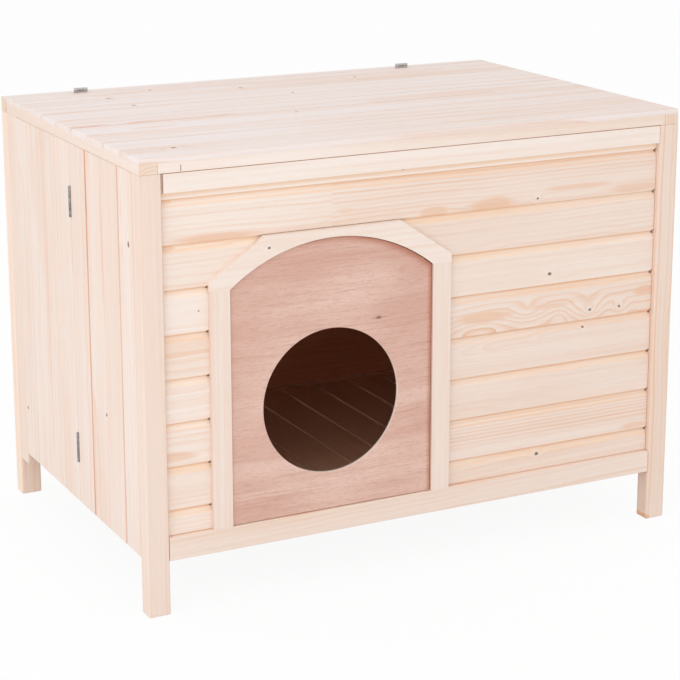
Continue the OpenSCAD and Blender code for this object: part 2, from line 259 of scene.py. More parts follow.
def ease(value, low, high):
    """0 below low, 1 above high, and a smooth step between."""
    settings = {"interpolation_type": "SMOOTHSTEP"}
    return value.add("ShaderNodeMapRange", settings, {"Value": value, "From Min": low, "From Max": high})


def at_least(least, share):
    """A share that goes from the least to 1, and not from 0 to 1."""
    return share * (1.0 - least) + least


def mix(share, first, second):
    """A colour that goes from the first to the second as the share goes from 0 to 1."""
    ends = {6: rgba(first), 7: rgba(second)}
    return share.add("ShaderNodeMix", {"data_type": "RGBA"}, {0: share, **ends}, output=2)


def tint(share, colour, factor):
    """The colour, multiplied by a factor where the share is 1."""
    settings = {"data_type": "RGBA", "blend_type": "MULTIPLY"}
    return share.add("ShaderNodeMix", settings, {0: share, 6: rgba(colour), 7: rgba(factor)}, output=2)


def noise(place, kind, seed=0.0):
    """Soft noise of one kind about 0, from -0.5 to 0.5. A piece's own seed moves it."""
    offset = tuple((seed + kind.seed) * step + start for step, start in zip(NOISE_STEP, NOISE_START))
    settings = {"operation": "MULTIPLY_ADD"}
    spread = place.add("ShaderNodeVectorMath", settings, {0: place, 1: kind.scales, 2: offset})
    inputs = {"Vector": spread, "Scale": 1.0, "Detail": kind.detail}
    return place.add("ShaderNodeTexNoise", None, inputs) - 0.5


def chance(value, seed):
    """A random number from 0 to 1 that stays the same for the same value."""
    return value.add("ShaderNodeTexWhiteNoise", {"noise_dimensions": "1D"}, {"W": value + seed})


def distance(first, second):
    """The length of a flat vector from its two parts."""
    return (first * first + second * second).root()


def oval(along, level, shape):
    """How far out a point lies in an oval: 0 in its middle and 1 on its edge."""
    middle_along, middle_level, half_length, half_height = shape
    return distance((along - middle_along) / half_length, (level - middle_level) / half_height)


def start_material(name):
    """An empty material, and its first wire."""
    material = bpy.data.materials.new(name)
    material.use_nodes = True
    material.node_tree.nodes.clear()
    return material, Wire(material.node_tree)


def read_surface(root):
    """A point's place, the three parts of that place, and those of the direction that the surface faces."""
    place = root.add("ShaderNodeTexCoord", output="Object")
    facing = root.add("ShaderNodeTexCoord", output="Normal")
    spot = [root.add("ShaderNodeSeparateXYZ", None, {0: place}, output=i) for i in range(3)]
    turn = [root.add("ShaderNodeSeparateXYZ", None, {0: facing}, output=i) for i in range(3)]
    return place, spot, turn


def finish_material(root, colour, roughness, height, depth, constants):
    """Ends a material in a Principled surface with that colour, roughness and height of its bumps."""
    normal = root.add("ShaderNodeBump", None, {"Strength": 1.0, "Distance": depth, "Height": height})
    sockets = {"Base Color": colour, "Roughness": roughness, "Normal": normal, **constants}
    surface = root.add("ShaderNodeBsdfPrincipled", None, sockets)
    root.add("ShaderNodeOutputMaterial", None, {"Surface": surface})


def dress(node, material):
    """Gives a node its one material."""
    mesh = nodes[node].data
    mesh.materials.clear()
    mesh.materials.append(material)


# Painted cabin shade, darker and redder near the floor within the cabin: the heights between which light
# from the top takes over from it, how far it does, and the distances from the hole between which the light
# of the hole ends

CABIN_DARK = 0.15
CABIN_LIGHT = 0.34
TOP_LIGHT = 0.92
HOLE_NEAR = 0.06
HOLE_FAR = 0.22


def shaded(spot):
    """How far the painted shade of the dark cabin shows: fully near its floor, little near its top or the
    hole.
    """
    from_hole = distance(spot[0] - HOLE_MIDDLE[0], spot[1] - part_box("door_panel")[1][1])
    below_light = 1.0 - ease(spot[2], CABIN_DARK, CABIN_LIGHT) * TOP_LIGHT
    return below_light * at_least(0.45, ease(from_hole, HOLE_NEAR, HOLE_FAR))


# Wood

# Which axis the grain runs along, lies across and goes into, and which side of the depth axis faces out
Run = namedtuple("Run", "along across depth outer")

FRONT = Run(0, 2, 1, "low")
BACK = Run(0, 2, 1, "high")
FRONT_POST = Run(2, 0, 1, "low")
BACK_POST = Run(2, 0, 1, "high")
LEFT_WALL = Run(2, 1, 0, "low")
RIGHT_WALL = Run(2, 1, 0, "high")
TOP = Run(0, 1, 2, "high")
TOP_SIDES = Run(1, 0, 2, "high")
DECK = Run(1, 0, 2, "low")
DECK_UNDER = Run(0, 1, 2, "high")

# Growth rings: their spacing, where the pith line passes across and below the face, how far it leans for
# each metre of length, how far it wanders sideways and in depth, how strongly the late wood shows, and how
# strongly broad warm bands show
Grain = namedtuple(
    "Grain", "ring pith lean sway dip lines bands",
    defaults=[0.005, (0.04, 0.03), (0, 0), 0.004, 0.004, 0.6, 0.35],
)

# A point of a piece: its place for the noise, its place along the grain and on the axis across it, its
# distance from the board's middle and below the face, and the piece's seed
Point = namedtuple("Point", "place along level across depth seed")

# Late wood through one ring: it darkens slowly and ends at once
RING_STOPS = [(0.0, 0.02), (0.45, 0.10), (0.80, 0.70), (0.92, 1.0), (1.0, 0.02)]
RING_RIPPLE = 0.9
PATCH_RIPPLE = 0.9

# Knots: the ripple of their edge and the reach of their bend in radii, their length against their height,
# and the rings they push aside
KNOT_RIPPLE = 0.5
KNOT_BEND = 5.0
KNOT_STRETCH = 0.75
KNOT_RINGS = 1.2

# Boards of a row: how far apart their draws lie, and how far their pith lines, lines and places differ
DRAW_STEP = 17.3
PITH_SPREAD = 0.09
PITH_SINK = 0.05
LINES_LEAST = 0.45
LINES_SPREAD = 0.9
BOARD_SHIFT = 40.0

# Reach of the change at the door's middle, in the grain and in the paler left tone, painted light from the
# left
GRAIN_CHANGE = 0.001
LIT_TONE_CHANGE = 0.1

# Lapped boards: the strip below a seam, which takes painted warm shade, and the lower edge from where it
# starts to where it is full
SEAM_REACH = 0.0040
FOOT_START = 0.0035
FOOT_FULL = 0.0010

# Strength of the painted shade in a seam
SHUT = 0.25
AJAR = 0.55
OPEN = 1.0
LAPPED = (0.35, 0.6)


def right_of_door(along, reach):
    """0 left of the door's middle and 1 right of it, with a smooth step that reaches that far each way."""
    return ease(along, DOOR_MIDDLE - reach, DOOR_MIDDLE + reach)


def either(share, first, second):
    """Each value of the first grain where the share is 0 and of the second where it is 1."""
    def between(low, high):
        if isinstance(low, tuple):
            return tuple(between(a, b) for a, b in zip(low, high))
        return low + (high - low) * share
    return Grain(*(between(low, high) for low, high in zip(first, second)))


def own_board(grain, along, count, seed):
    """The grain of one board of a row, and its place along the grain, drawn by the board's number."""
    draws = [chance(count, seed + DRAW_STEP * i) for i in range(4)]
    pith = (grain.pith[0] + (draws[0] - 0.5) * PITH_SPREAD, grain.pith[1] + draws[1] * PITH_SINK)
    lines = (draws[2] * LINES_SPREAD + LINES_LEAST) * grain.lines
    return grain._replace(pith=pith, lines=lines), along + draws[3] * BOARD_SHIFT


def count_rings(point, grain, swirls, knots):
    """The number of rings from the pith line to a point, and each knot's distance with its radius."""
    sway = noise(point.place, SWAY_NOISE, point.seed) * grain.sway
    dip = noise(point.place, DIP_NOISE, point.seed) * grain.dip
    sideways = point.across - grain.pith[0] - point.along * grain.lean[0] - sway
    below = point.depth - grain.pith[1] - point.along * grain.lean[1] - dip
    ripple = noise(point.place, RING_NOISE, point.seed) * RING_RIPPLE
    rings = distance(sideways, below) / grain.ring + ripple

    for *shape, amount in swirls:
        rings = rings + (1.0 - ease(oval(point.along, point.level, shape), 0.0, 1.0)) * amount

    hearts = []
    for along, level, radius in knots:
        ripple = noise(point.place, KNOT_NOISE, point.seed) * radius * KNOT_RIPPLE
        reach = distance((point.along - along) * KNOT_STRETCH, point.level - level) + ripple
        rings = rings + (1.0 - ease(reach, 0.0, radius * KNOT_BEND)) * KNOT_RINGS
        hearts.append((reach, radius))
    return rings, hearts


def late_wood(point, rings, lines, patches):
    """How far late wood shows in the ring itself, and in the face with its fading lines and its patches."""
    ramp = rings.add("ShaderNodeValToRGB", {"stops": RING_STOPS}, {"Fac": rings.part()})
    ring = ramp * at_least(0.2, chance(rings.floor(), point.seed))
    fade = noise(point.place, FADE_NOISE, point.seed)
    share = ring * at_least(0.25, ease(fade, -0.22, 0.16)) * lines
    for *shape, amount in patches:
        edge = oval(point.along, point.level, shape)
        edge = edge + noise(point.place, PATCH_NOISE, point.seed) * PATCH_RIPPLE
        share = share.over((1.0 - ease(edge, 0.45, 1.05)) * amount)
    return ring, share


def darken_knots(colour, hearts):
    """Puts a pale halo and a dark heart on each knot."""
    for reach, radius in hearts:
        halo = 1.0 - ease(reach, radius * 1.2, radius * 3.0)
        heart = 1.0 - ease(reach, radius * 0.5, radius * 1.1)
        colour = mix(halo * 0.25, colour, KNOT_HALO)
        colour = mix(heart * 0.9, colour, KNOT_DARK)
    return colour


def paint_shade_marks(colour, point, marks):
    """Puts a small dark upright or level mark of painted shade at each place."""
    for along, level, half_length, half_height in marks:
        within = 1.0 - ease(abs(point.along - along), half_length * 0.6, half_length * 1.4)
        within = within * (1.0 - ease(abs(point.level - level), half_height * 0.8, half_height * 1.1))
        colour = mix(within * 0.85, colour, NOTCH_SHADE_DARK)
    return colour


def paint_lap_light_and_shade(colour, across, tilt, half, lap, blotch, band):
    """Painted light on a lapped board's bevel, painted warm shade below the seam, and a warmer lower edge.
    """
    bevel = ease(tilt, 0.15, 0.30) * at_least(0.3, ease(blotch, -0.2, 0.2))
    seam = ease(across, half - lap - SEAM_REACH, half - lap)
    foot = ease(0.0 - across, half - FOOT_START, half - FOOT_FULL)
    foot = foot * at_least(0.4, ease(band, -0.1, 0.2))
    colour = tint(bevel, colour, BEVEL_LIGHT_TINT)
    colour = tint(seam, colour, SEAM_SHADE_TINT)
    return tint(foot, colour, FOOT_TINT)


def wood(
    node, run, grain=Grain(), seed=0.0, tone=EARLY_WOOD, knots=(), patches=(), swirls=(), marks=(),
    courses=None, left=None, left_lit_tone=None, joints=(0.0, 0.0), joint_shading_tint=JOINT_SHADE_TINT, lap=None,
    cabin_shade=0.0, cabin_shade_tint=CABIN_SHADE_TINT, ends=1.0, shine=0.32,
):
    """A whitewood material: growth rings round a wandering pith line, cut by the faces of the piece.

    A point's distance from the pith line, over the ring spacing, counts the rings. The rest of that count is
    the place in the ring: pale early wood first, then late wood that darkens slowly and ends at once. Each
    ring has its own strength. A knot is a round heart that the rings bend round, a swirl is an oval that
    moves them by an amount, and a patch is a long oval where one late ring lies almost flat in the face.
    Fibres are stretched noise along the grain.

    Each piece has a seed of its own for the noise. Knots are given as a place along and across the grain and
    a radius, and patches and swirls as a place, a half length, a half height and an amount. Marks are small
    dark spots of painted shade in notches and open seams, and have no amount. Where a node is a row of
    boards, courses gives its first edge and its pitch. The left grain and the paler left tone hold left of
    the door;
    that tone is painted light from the left. The seam strengths give the tint on the low and the high side
    of
    the seams: painted shade, and painted light where the tint is a lit one. lap is the length of the tongue
    above a seam, and the cabin strength and ends how strongly the painted shade of the cabin and the end
    grain show.
    """
    material, root = start_material(node)
    _, spot, turn = read_surface(root)
    low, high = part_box(node)
    along, level, tilt = spot[run.along], spot[run.across], turn[run.across]
    if run.outer == "low":
        depth, inward = spot[run.depth] - low[run.depth], turn[run.depth]
    else:
        depth, inward = high[run.depth] - spot[run.depth], 0.0 - turn[run.depth]

    if courses:
        start, board = courses
        count = ((level - start) / board).floor()
        across = level - (start + 0.5 * board) - count * board
        grain, moved = own_board(grain, along, count, seed)
    else:
        board = high[run.across] - low[run.across]
        across = level - 0.5 * (low[run.across] + high[run.across])
        moved = along
    if left:
        grain = either(right_of_door(along, GRAIN_CHANGE), left, grain)
    # Painted light: left of the door, the tone is paler, as lit from the left
    if left_lit_tone:
        tone = mix(right_of_door(along, LIT_TONE_CHANGE), left_lit_tone, tone)

    place = root.add("ShaderNodeCombineXYZ", None, {0: moved, 1: across, 2: depth})
    point = Point(place, along, level, across, depth, seed)
    rings, hearts = count_rings(point, grain, swirls, knots)
    ring, share = late_wood(point, rings, grain.lines, patches)
    butt = ease(abs(turn[run.along]), 0.55, 0.85)
    share = share * (1.0 - butt * (1.0 - ends))

    streak = noise(place, STREAK_NOISE, seed)
    fibre = noise(place, FIBRE_NOISE, seed)
    blotch = noise(place, BLOTCH_NOISE, seed)
    band = noise(place, BAND_NOISE, seed)
    colour = mix(share, tone, LATE_WOOD)
    colour = tint(ease(band, -0.06, 0.22) * grain.bands, colour, BAND_TINT)
    colour = tint(ease(blotch, -0.05, 0.25), colour, BLOTCH_TINT)
    colour = tint(ease(streak, -0.10, 0.28), colour, FIBRE_TINT)
    colour = tint(ease(fibre, -0.15, 0.35), colour, FIBRE_TINT)
    colour = darken_knots(colour, hearts)
    colour = paint_shade_marks(colour, point, marks)
    # Painted light on the bevel and painted warm shade below the seam of a lapped board
    if lap is not None:
        colour = paint_lap_light_and_shade(colour, across, tilt, 0.5 * board, lap, blotch, band)

    # Painted shade darkens the faces in seams and gaps; where the tint is a lit one, it is painted light
    low_shading, high_shading = joints(count) if callable(joints) else joints
    joint_shading_mask = ease(0.0 - tilt, 0.5, 0.7) * low_shading + ease(tilt, 0.5, 0.7) * high_shading
    joint_shading_mask = joint_shading_mask * at_least(0.55, ease(noise(place, JOINT_NOISE, seed), -0.2, 0.2))
    colour = tint(joint_shading_mask, colour, joint_shading_tint)
    colour = mix(butt * ends, colour, mix(ring, END_EARLY, END_LATE))
    # Painted shade: faces that look into the cabin take its darker, redder tint
    colour = tint(ease(inward * cabin_shade, 0.4, 0.7) * shaded(spot), colour, cabin_shade_tint)

    height = fibre * 0.5 + streak * 0.6 - share * 0.35
    roughness = 0.56 - share * 0.08 + fibre * 0.10
    finish_material(root, colour, roughness, height, WOOD_BUMP, {"Specular IOR Level": shine})
    dress(node, material)


# Front boards, from the sill up: the grain right of the door first, and then the grain left of it

# Painted shade: dark spots in the notches at the ends of the seams. How far before the end and below the
# seam, half length, half height
POST_NOTCH = (0.0012, 0.0008, 0.0020, 0.0030)
DOOR_NOTCH = (0.0006, 0.0006, 0.0014, 0.0020)
NOTCH_ABOVE_DOOR = 0.01


def shaded_notch(end, seam, size):
    """A mark of painted shade at the end of a seam."""
    before, below, half_length, half_height = size
    return (end - before, seam - below, half_length, half_height)


def front_board(
    number, grain, left=None, tone=EARLY_WOOD, knots=(), patches=(), swirls=(), left_lit_tone=LIT_PALE_WOOD,
    joints=LAPPED, joint_shading_tint=GAP_SHADE_TINT,
):
    """One course of the front, with painted shade in notches at its seam ends by the right post and door
    frame.
    """
    node = "front_board_%d" % number
    seams = [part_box("front_board_%d" % n)[0][2] for n in (number, number + 1) if 2 <= n <= TOP_BOARD]
    right_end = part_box(node)[1][0]
    door_end, door_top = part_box("left_stile")[0][0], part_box("left_stile")[1][2]
    beside_door = [seam for seam in seams if seam < door_top + NOTCH_ABOVE_DOOR]
    marks = [shaded_notch(right_end, seam, POST_NOTCH) for seam in seams]
    marks += [shaded_notch(door_end, seam, DOOR_NOTCH) for seam in beside_door]
    wood(
        node, FRONT, grain, float(number), tone, knots, patches, swirls, marks, left=left,
        left_lit_tone=left_lit_tone, joints=joints, joint_shading_tint=joint_shading_tint, lap=LAP, cabin_shade=1.0,
    )


# Painted light: left of the door, the front boards take a paler tone, as lit from the left
front_board(
    1, Grain(0.0065, (-0.06, 0.03), (0.03, 0.0), 0.012, 0.006, 0.42),
    Grain(0.0060, (0.05, 0.02), (0.0, 0.0), 0.006, 0.006, 0.5),
    knots=[(0.1845, 0.1275, 0.0027)],
)
front_board(
    2, Grain(0.0046, (-0.024, 0.010), (0.006, 0.0), 0.004, 0.007, 1.0),
    Grain(0.0060, (0.010, 0.012), (0.0, 0.0), 0.010, 0.020, 0.42),
    patches=[(0.345, 0.145, 0.030, 0.006, 0.5)],
)
front_board(
    3, Grain(0.0060, (-0.030, 0.022), (0.02, 0.03), 0.012, 0.030, 0.30),
    Grain(0.0070, (-0.016, 0.010), (0.0, 0.0), 0.010, 0.020, 0.48),
    patches=[(-0.358, 0.2085, 0.036, 0.0085, 0.55)],
)
front_board(
    4, Grain(0.0034, (0.006, 0.016), (0.04, -0.05), 0.020, 0.020, 0.36),
    Grain(0.0080, (0.024, 0.020), (0.0, 0.0), 0.010, 0.010, 0.4),
    knots=[(0.2555, 0.302, 0.0019)],
)
front_board(
    5, Grain(0.0075, (-0.040, 0.020), (0.02, 0.0), 0.016, 0.020, 1.0),
    Grain(0.0085, (-0.030, 0.010), (0.0, 0.0), 0.006, 0.012, 0.32),
    knots=[(0.2665, 0.3255, 0.0023), (0.3155, 0.3245, 0.0020)],
    patches=[
        (0.095, 0.3365, 0.066, 0.0095, 0.62), (0.357, 0.343, 0.022, 0.010, 0.6),
        (0.200, 0.3390, 0.042, 0.0065, 0.45),
        (-0.340, 0.3440, 0.080, 0.0045, 0.48), (-0.340, 0.3570, 0.100, 0.0130, 0.26),
    ],
    swirls=[
        (0.085, 0.318, 0.075, 0.022, -1.8), (0.165, 0.336, 0.040, 0.022, 1.5),
        (0.262, 0.327, 0.045, 0.034, 2.2), (0.3155, 0.3245, 0.024, 0.020, 0.9),
        (0.215, 0.322, 0.024, 0.018, -0.8),
    ],
)
front_board(
    6, Grain(0.0080, (-0.045, 0.030), (0.01, 0.0), 0.010, 0.010, 0.34),
    Grain(0.0080, (0.050, 0.030), (0.0, 0.0), 0.004, 0.010, 0.3),
    tone=PALE_WOOD, knots=[(0.199, 0.3845, 0.0028), (-0.321, 0.397, 0.0012)],
)
front_board(
    7, Grain(0.0058, (-0.034, 0.014), (0.0, 0.0), 0.012, 0.026, 0.55),
    Grain(0.0075, (-0.040, 0.025), (0.0, 0.0), 0.008, 0.010, 0.42),
    patches=[(-0.362, 0.4810, 0.014, 0.0060, 0.45)],
)
front_board(
    8, Grain(0.0056, (-0.030, 0.008), (0.0, 0.0), 0.008, 0.012, 0.85),
    Grain(0.0062, (-0.030, 0.008), (0.0, 0.0), 0.008, 0.012, 0.55),
    knots=[(0.177, 0.492, 0.0018)],
    patches=[
        (-0.363, 0.5400, 0.012, 0.0050, 0.40), (-0.305, 0.4890, 0.075, 0.0085, 0.62),
        (-0.115, 0.505, 0.020, 0.0045, 0.35), (0.017, 0.489, 0.026, 0.010, 0.58),
        (0.102, 0.4885, 0.047, 0.0140, 0.62), (0.245, 0.503, 0.060, 0.0050, 0.45),
        (0.335, 0.493, 0.050, 0.0075, 0.42),
    ],
    joints=(1.0, 0.0), joint_shading_tint=LIT_EDGE,
)
# Painted light: the strip under the top rail is paler, against the rail's shadow
front_board(
    9, Grain(0.009, (0.05, 0.05), lines=0.3), tone=LEDGE_LIT_WOOD, knots=[(-0.0305, 0.5505, 0.0010)],
    left_lit_tone=LEDGE_LIT_WOOD,
)

# Frame: painted shade on the posts' faces toward the boards, on the top rail's top under the lid and on the
# rear bottom rail's ledge, and painted light on the front bottom rail's top

wood(
    "front_left_post", FRONT_POST, Grain(0.0058, (0.075, 0.055), (0.012, 0.0), 0.008, 0.010, 0.28), 11.0,
    POST_WOOD, joints=(0.0, 0.8), joint_shading_tint=GAP_SHADE_TINT,
)
wood(
    "front_right_post", FRONT_POST, Grain(0.0066, (-0.060, 0.020), (0.010, 0.0), 0.014, 0.008, 1.0), 12.0,
    POST_WOOD, patches=[(0.001, 0.3700, 0.008, 0.008, 0.95), (0.085, 0.3700, 0.020, 0.003, 0.40)],
    joints=(0.15, 0.0), joint_shading_tint=GAP_SHADE_TINT,
)
# Painted light: the rear left post is paler to lift its shade
wood(
    "rear_left_post", BACK_POST, Grain(0.0060, (0.050, 0.060), (0.010, 0.0), 0.010, 0.010, 0.6), 13.0,
    LEG_LIT_WOOD,
)
wood("rear_right_post", BACK_POST, Grain(0.0055, (-0.030, 0.050), (0.010, 0.0), 0.010, 0.010, 0.6), 14.0)
# Painted shade: the mark is the shadow in the open seam at the left post
wood(
    "front_top_rail", FRONT, Grain(0.0085, (0.040, 0.040), lines=0.22), 15.0, LIT_PALE_WOOD,
    marks=[(-0.3688, 0.5645, 0.0013, 0.0135)], joints=(0.0, 1.0), joint_shading_tint=GAP_SHADE_TINT,
)
wood(
    "front_bottom_rail", FRONT, Grain(0.0066, (-0.038, 0.012), (0.025, 0.0), 0.010, 0.016, 0.75), 16.0,
    joints=(0.0, 1.0), joint_shading_tint=LIT_LEDGE, ends=0.0,
)
wood("rear_top_rail", BACK, Grain(0.0060, (0.030, 0.030), lines=0.5), 17.0)
wood(
    "rear_bottom_rail", BACK, Grain(0.0060, (-0.030, 0.020), (0.006, 0.0), 0.010, 0.016, 0.6), 18.0,
    joints=(0.0, 0.9), joint_shading_tint=GAP_SHADE_TINT, cabin_shade=1.0, shine=0.06,
)
# Painted sheen: the hinge rail takes the lid's paler, greyer tone
wood("hinge_rail", TOP, Grain(0.0060, (0.030, 0.030), lines=0.4), 19.0, LID_SHEEN_WOOD)
wood("left_spacer", LEFT_WALL, Grain(0.0060, (0.030, 0.030), lines=0.6), 20.0)
wood("right_spacer", RIGHT_WALL, Grain(0.0060, (-0.030, 0.030), lines=0.6), 21.0)

# Door frame: painted shade on the stiles' left faces and the head's lower faces

wood(
    "left_stile", FRONT_POST, Grain(0.0075, (0.045, 0.040), (0.01, 0.0), lines=0.26), 22.0,
    joints=(0.2, 0.1),
)
wood(
    "right_stile", FRONT_POST, Grain(0.0075, (-0.045, 0.030), (0.01, 0.0), lines=0.30), 23.0,
    knots=[(0.1345, 0.0095, 0.0024)], joints=(0.45, 0.1),
)
wood(
    "arch_head", FRONT, Grain(0.0090, (-0.060, 0.030), lines=0.28), 24.0, PALE_WOOD,
    knots=[(-0.226, 0.469, 0.0020)], joints=(0.6, 0.1), ends=0.0,
)
wood("wall_cleats", FRONT_POST, Grain(0.0060, (0.040, 0.030), lines=0.6), 25.0, cabin_shade=1.0)

# Back and side walls: painted shade in their seams and on the faces that look into the cabin

wood(
    "rear_boards", BACK, Grain(0.0060, (0.0, 0.006), (0.01, 0.0), 0.010, 0.016, 0.75), 26.0,
    knots=[
        (-0.035, 0.262, 0.0048), (0.212, 0.402, 0.0030), (-0.251, 0.155, 0.0026), (0.118, 0.512, 0.0022),
    ],
    courses=(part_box("rear_boards")[0][2] + REAR_FIRST - COURSE, COURSE),
    joints=LAPPED, joint_shading_tint=GAP_SHADE_TINT, lap=0.0, cabin_shade=1.0,
)


def every_other(count):
    """Strengths of the painted seam shade on the low and the high side of a board, by its number.

    Open and shut seams take turns. Before the second board, the open ones are only ajar.
    """
    odd = (count * 0.5).part() * 2.0
    opened = ease(count, 1.4, 1.6) * (OPEN - AJAR) + AJAR
    return SHUT + odd * (opened - SHUT), opened - odd * (opened - SHUT)


def wall(side, run, seed, knots, patches):
    """Materials of one side wall: its two frames of upright boards, each with its own battens."""
    for place, shift, joints in (("front", 0.0, every_other), ("rear", 3.0, (SHUT, SHUT))):
        boards = side + "_" + place + "_boards"
        low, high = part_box(boards)
        first = high[1] - FRONT_HALF_FACES * WALL_FACE if place == "front" else low[1]
        grain = Grain(0.0062, (0.0, 0.012), (0.008, 0.0), 0.010, 0.014, 0.62)
        wood(
            boards, run, grain, seed + shift, WALL_WOOD, knots[place], patches[place],
            courses=(first, WALL_FACE), joints=joints, joint_shading_tint=WALL_GAP_SHADE_TINT, cabin_shade=1.0,
        )
        battens = side + "_" + place + "_battens"
        grain = Grain(0.0060, (0.03, 0.03), lines=0.5)
        wood(battens, Run(1, 2, 0, run.outer), grain, seed + shift + 1.0, cabin_shade=1.0)


wall("left", LEFT_WALL, 30.0, {
    "front": [(0.4845, -0.228, 0.0036), (0.2345, -0.1315, 0.0022)],
    "rear": [(0.149, 0.1985, 0.0027)],
}, {
    "front": [(0.470, -0.1310, 0.130, 0.006, 0.40)],
    "rear": [(0.360, 0.0890, 0.330, 0.006, 0.32)],
})
wall("right", RIGHT_WALL, 40.0, {
    "front": [(0.331, -0.092, 0.0021)],
    "rear": [(0.472, 0.061, 0.0018), (0.188, 0.152, 0.0020)],
}, {
    "front": [(0.300, -0.0700, 0.180, 0.005, 0.35)],
    "rear": [(0.410, 0.1120, 0.140, 0.006, 0.35)],
})

# Lid: knots by board, and the strength of the painted shade in the seam before each board and behind the
# last

LID_KNOTS = {
    1: [(-0.332, -0.2155, 0.0040)],
    4: [(-0.081, -0.047, 0.0026)],
    7: [(-0.259, 0.1055, 0.0034), (-0.0135, 0.1045, 0.0026)],
    8: [(-0.269, 0.1785, 0.0030), (-0.0625, 0.1805, 0.0030), (0.1355, 0.196, 0.0028)],
    9: [(-0.190, 0.2195, 0.0028)],
}
LID_SEAMS = [0.0, 0.45, 0.60, 0.45, 1.0, 0.70, 0.85, 0.65, 0.55, 0.0]

# The pith line swings from board to board, and lies at one of three depths
LID_PITH_SWING = 0.045
LID_PITH_STEP = 2.4
LID_PITH_DEPTH = 0.012
LID_PITH_DEEPER = 0.006

# Painted light: the lid boards take the paler, greyer lid tone as painted sheen, and a paler one still at
# their left, as lit from the left
for number in range(1, LID_BOARDS + 1):
    across_pith = LID_PITH_SWING * math.sin(LID_PITH_STEP * number)
    pith = (across_pith, LID_PITH_DEPTH + LID_PITH_DEEPER * (number % 3))
    wood(
        "lid_board_%d" % number, TOP, Grain(0.0085, pith, (0.010, 0.0), 0.012, 0.014, 1.0, 1.0),
        50.0 + number, LID_SHEEN_WOOD, LID_KNOTS.get(number, ()), left_lit_tone=LID_LEFT_LIT_WOOD,
        joints=(LID_SEAMS[number - 1], LID_SEAMS[number]), ends=0.12,
    )
wood("lid_side_battens", TOP_SIDES, Grain(0.0046, (-0.380, 0.040), lines=0.5), 61.0)
# Painted shade: the marks are dark lines in the seams at its left end; its left part takes the paler
# painted-light tone
wood(
    "lid_front_batten", FRONT, Grain(0.0090, (0.050, 0.040), lines=0.22), 62.0, PALE_WOOD,
    marks=[(-0.344, 0.5828, 0.0006, 0.0043), (-0.3748, 0.5843, 0.0004, 0.0065)],
    left_lit_tone=LIT_PALE_WOOD, joints=(1.0, 0.0), joint_shading_tint=GAP_SHADE_TINT,
)
wood("lid_rear_batten", BACK, Grain(0.0062, (0.040, 0.030), lines=0.4), 63.0)
wood("lid_middle_batten", TOP_SIDES, Grain(0.0062, (0.040, 0.030), lines=0.4), 64.0)

# Floor: painted shade of the cabin on the boards' top, and painted shade on their edges in the gaps

wood(
    "floor_boards", DECK, Grain(0.0060, (0.0, 0.010), (0.008, 0.0), 0.010, 0.016, 0.6), 70.0,
    courses=(-0.5 * FLOOR_PITCH, FLOOR_PITCH), joints=(1.0, 1.0), joint_shading_tint=GAP_SHADE_TINT,
    cabin_shade=1.0, cabin_shade_tint=FLOOR_SHADE_TINT, shine=0.2,
)
wood("floor_battens", DECK_UNDER, Grain(0.0060, (0.030, 0.030), lines=0.5), 71.0)
wood("floor_ledgers", DECK_UNDER, Grain(0.0060, (-0.030, 0.030), lines=0.5), 72.0)

# Door panel: the waves of its veneer, the painted shade along its edge below the arch and at the right, and
# the strips at the hole and at the foot where its plies show, all in metres

PLY_WAVE = 0.02
SHADE_BELOW_ARCH = 0.012
SHADE_AT_RIGHT = 0.008
HOLE_EDGE = (0.003, 0.006)
FOOT_EDGE = (0.0010, 0.0025)


